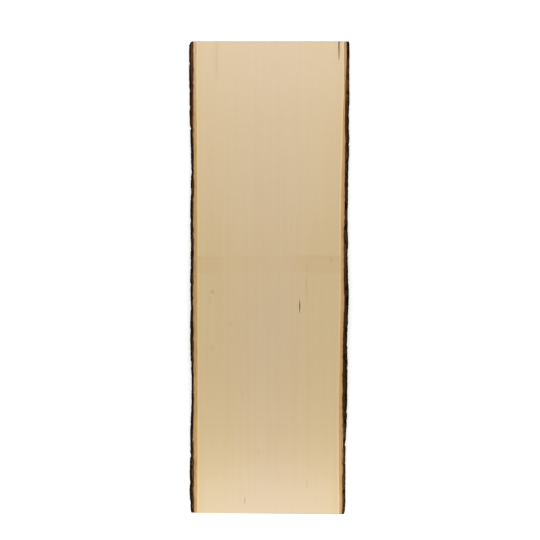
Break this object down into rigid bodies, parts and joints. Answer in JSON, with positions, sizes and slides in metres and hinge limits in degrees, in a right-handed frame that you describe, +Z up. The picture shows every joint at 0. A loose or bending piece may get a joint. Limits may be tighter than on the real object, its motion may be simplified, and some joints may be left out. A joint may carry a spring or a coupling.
{
  "type": "basswood plank",
  "caption": "Live-edge plank: a flat board of pale wood sawn along a small log, with the bark left on both long edges, for a sign, a shelf, a serving board or carving.",
  "frame": {"origin": "middle of the bounding box, on the flat underside that the plank lies on", "axes": "+X across the plank, to the edge with the split at the far end; +Y along the grain, to the square and wider end; +Z up, out of the face that shows"},
  "size_m": [0.1984, 0.584, 0.019],
  "materials": {
    "basswood": "planed and sanded, bare and matt, pale cream with a faint grain",
    "bark": "rough furrowed bark, dark brown outside, tan and fibrous where it is sawn through"
  },
  "bodies": {
    "root": {"plank": "basswood"}
  },
  "joints": []
}
